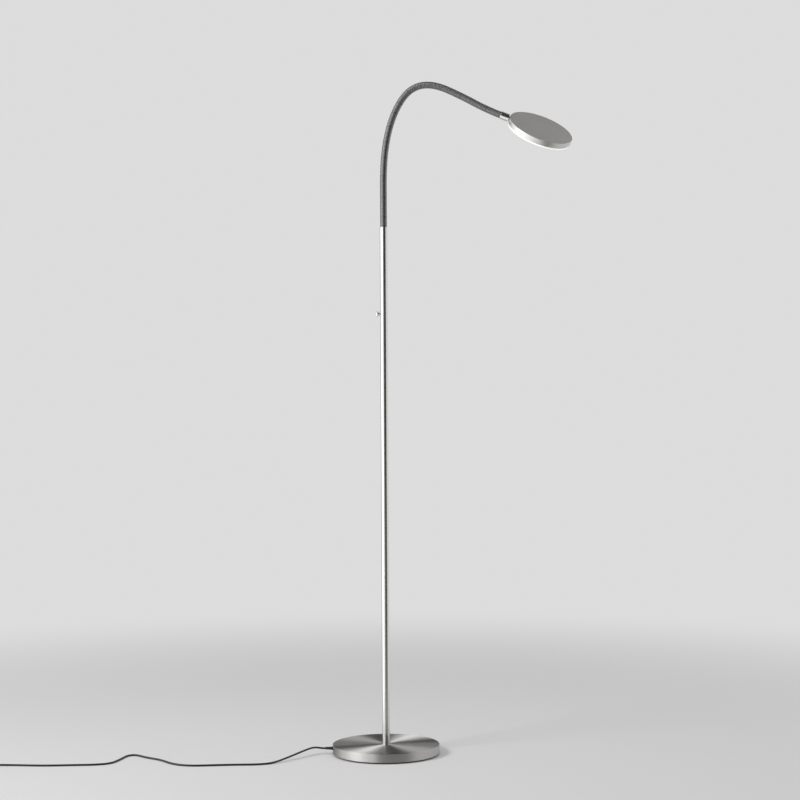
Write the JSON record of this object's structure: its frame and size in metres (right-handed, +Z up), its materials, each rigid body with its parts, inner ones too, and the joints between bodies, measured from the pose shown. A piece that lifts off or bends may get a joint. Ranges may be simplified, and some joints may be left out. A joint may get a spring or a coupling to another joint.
{
  "type": "gooseneck reading floor lamp",
  "caption": "Floor lamp with a round weighted base, a slim pole with a push button, a bendable ribbed neck and a flat round swivelling head.",
  "frame": {"origin": "centre of the base's underside, on the floor", "axes": "+Z up along the pole; the neck arches over towards +X; the push button and the cord are on the -X side; the pictured side faces -Y"},
  "size_m": [1.3211, 0.3963, 1.4231],
  "materials": {
    "brushed_nickel": "satin, brushed",
    "cast_weight": "rough cast",
    "foam_pad": "matte",
    "zinc_steel": "zinc plated",
    "black_rubber": "matte",
    "cord_jacket": "satin",
    "button_metal": "polished",
    "spring_steel": "bright",
    "neck_steel": "dark satin",
    "ferrule_nickel": "polished",
    "head_aluminium": "satin",
    "opal_plastic": "opal",
    "white_plastic": "matte",
    "board_laminate": "satin",
    "led_chip": "matte",
    "black_plastic": "matte",
    "pin_brass": "polished",
    "lead_jacket": "matte"
  },
  "bodies": {
    "stand": {"base_cover": "brushed_nickel", "base_weight": "cast_weight", "base_pad": "foam_pad", "foot_stud": "zinc_steel", "foot_nut": "zinc_steel", "foot_washer": "zinc_steel", "cord_clamp": "zinc_steel", "clamp_screws": "zinc_steel", "cord_bush": "black_rubber", "pole": "brushed_nickel", "pole_foot": "zinc_steel", "pole_lead": "cord_jacket", "board_carrier": "white_plastic", "switch_board": "board_laminate", "push_switch": "black_plastic", "button_bush": "button_metal", "neck_socket": "zinc_steel", "neck_set_screw": "spring_steel", "neck_section_01": "neck_steel", "neck_lead": "lead_jacket", "cord": "cord_jacket", "cord_coil": "cord_jacket", "cord_tie": "black_plastic", "cord_tail": "cord_jacket", "supply_base": "black_plastic", "supply_cover": "black_plastic", "supply_board": "board_laminate", "supply_pins": "pin_brass", "supply_relief": "black_rubber"},
    "button": {"switch_button": "button_metal", "button_clip": "spring_steel", "button_spring": "spring_steel"},
    "neck_02": {"neck_section_02": "neck_steel"},
    "neck_03": {"neck_section_03": "neck_steel"},
    "neck_04": {"neck_section_04": "neck_steel"},
    "neck_05": {"neck_section_05": "neck_steel"},
    "neck_06": {"neck_section_06": "neck_steel"},
    "neck_07": {"neck_section_07": "neck_steel"},
    "neck_08": {"neck_section_08": "neck_steel"},
    "neck_09": {"neck_section_09": "neck_steel"},
    "neck_10": {"neck_section_10": "neck_steel"},
    "neck_11": {"neck_section_11": "neck_steel"},
    "neck_12": {"neck_section_12": "neck_steel"},
    "neck_13": {"neck_section_13": "neck_steel"},
    "neck_14": {"neck_section_14": "neck_steel"},
    "neck_15": {"neck_section_15": "neck_steel"},
    "neck_16": {"neck_section_16": "neck_steel", "neck_ferrule": "ferrule_nickel", "ferrule_set_screw": "spring_steel"},
    "head": {"swivel_stem": "zinc_steel", "swivel_clip": "spring_steel", "stem_nut": "zinc_steel", "head_shell": "head_aluminium", "led_board": "white_plastic", "led_chips": "led_chip", "board_screws": "zinc_steel", "reflector": "white_plastic", "diffuser": "opal_plastic", "head_terminal": "white_plastic", "head_lead": "lead_jacket"}
  },
  "joints": [
    {"name": "neck_bend_02", "type": "hinge", "parent": "stand", "child": "neck_02", "pos_m": [0, 0, 1.1573], "axis": [0, 1, 0], "range_deg": [-15, 15], "deforming": ["neck_lead"]},
    {"name": "neck_sway_03", "type": "hinge", "parent": "neck_02", "child": "neck_03", "pos_m": [0, 0, 1.2023], "axis": [1, 0, 0], "range_deg": [-15, 15]},
    {"name": "neck_bend_04", "type": "hinge", "parent": "neck_03", "child": "neck_04", "pos_m": [0.0011, 0, 1.24428], "axis": [0, 1, 0], "range_deg": [-15, 15]},
    {"name": "neck_bend_05", "type": "hinge", "parent": "neck_04", "child": "neck_05", "pos_m": [0.00439, 0, 1.28012], "axis": [0, 1, 0], "range_deg": [-15, 15]},
    {"name": "neck_sway_06", "type": "hinge", "parent": "neck_05", "child": "neck_06", "pos_m": [0.01026, 0, 1.31258], "axis": [0.9744, 0, -0.225], "range_deg": [-15, 15]},
    {"name": "neck_bend_07", "type": "hinge", "parent": "neck_06", "child": "neck_07", "pos_m": [0.01963, 0, 1.3442], "axis": [0, 1, 0], "range_deg": [-15, 15]},
    {"name": "neck_sway_08", "type": "hinge", "parent": "neck_07", "child": "neck_08", "pos_m": [0.0305, 0, 1.3689], "axis": [0.887, 0, -0.4617], "range_deg": [-15, 15]},
    {"name": "neck_bend_09", "type": "hinge", "parent": "neck_08", "child": "neck_09", "pos_m": [0.03969, 0, 1.38436], "axis": [0, 1, 0], "range_deg": [-15, 3]},
    {"name": "neck_bend_10", "type": "hinge", "parent": "neck_09", "child": "neck_10", "pos_m": [0.04902, 0, 1.39609], "axis": [0, 1, 0], "range_deg": [-15, 3]},
    {"name": "neck_bend_11", "type": "hinge", "parent": "neck_10", "child": "neck_11", "pos_m": [0.0604, 0, 1.40581], "axis": [0, 1, 0], "range_deg": [-15, 3]},
    {"name": "neck_bend_12", "type": "hinge", "parent": "neck_11", "child": "neck_12", "pos_m": [0.07379, 0, 1.41248], "axis": [0, 1, 0], "range_deg": [-15, 3]},
    {"name": "neck_bend_13", "type": "hinge", "parent": "neck_12", "child": "neck_13", "pos_m": [0.08845, 0, 1.41546], "axis": [0, 1, 0], "range_deg": [-15, 3]},
    {"name": "neck_bend_14", "type": "hinge", "parent": "neck_13", "child": "neck_14", "pos_m": [0.11227, 0, 1.41348], "axis": [0, 1, 0], "range_deg": [-15, 3]},
    {"name": "neck_bend_15", "type": "hinge", "parent": "neck_14", "child": "neck_15", "pos_m": [0.1378, 0, 1.40482], "axis": [0, 1, 0], "range_deg": [-15, 15]},
    {"name": "neck_sway_16", "type": "hinge", "parent": "neck_15", "child": "neck_16", "pos_m": [0.1916, 0, 1.37829], "axis": [-0.4772, 0, -0.8788], "range_deg": [-15, 15]},
    {"name": "head_swivel", "type": "hinge", "parent": "neck_16", "child": "head", "pos_m": [0.24866, 0, 1.35168], "axis": [0.9304, 0, -0.3665], "range_deg": [-119.4, 60.6]},
    {"name": "button_press", "type": "slide", "parent": "stand", "child": "button", "axis": [1, 0, 0], "range_m": [0, 0.0015], "stiffness_N_per_m": 800, "springref_m": -0.0015, "deforming": ["button_spring"]}
  ]
}
